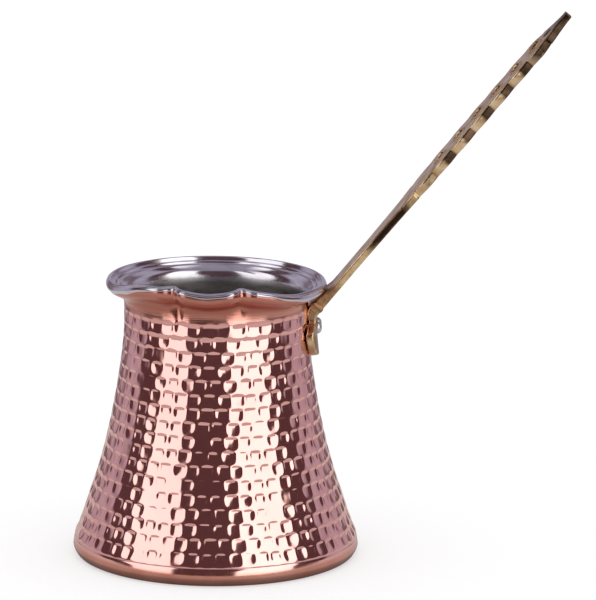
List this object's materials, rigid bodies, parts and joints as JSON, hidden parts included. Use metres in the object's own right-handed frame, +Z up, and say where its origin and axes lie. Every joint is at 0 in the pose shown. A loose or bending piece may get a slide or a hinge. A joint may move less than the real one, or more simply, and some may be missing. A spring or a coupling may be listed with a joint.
{
  "type": "coffee pot",
  "caption": "Small hammered copper coffee pot with a flared base, narrow neck, out-turned lip with a pinched side spout, tin lining and a long riveted brass handle.",
  "frame": {"origin": "centre of the flat bottom, on the pot's axis", "axes": "+Z up the pot's axis, +X towards the handle, -Y towards the pouring spout"},
  "size_m": [0.1698, 0.0986, 0.1899],
  "materials": {
    "copper": "hammered and polished copper, brushed at the neck",
    "tin": "hand-wiped tin",
    "brass": "cast brass, polished, darker in the recesses",
    "aluminium": "bare hammered rivet heads"
  },
  "bodies": {
    "root": {"copper_body": "copper", "tin_lining": "tin", "brass_handle": "brass", "front_rivet": "aluminium", "rear_rivet": "aluminium"}
  },
  "joints": []
}
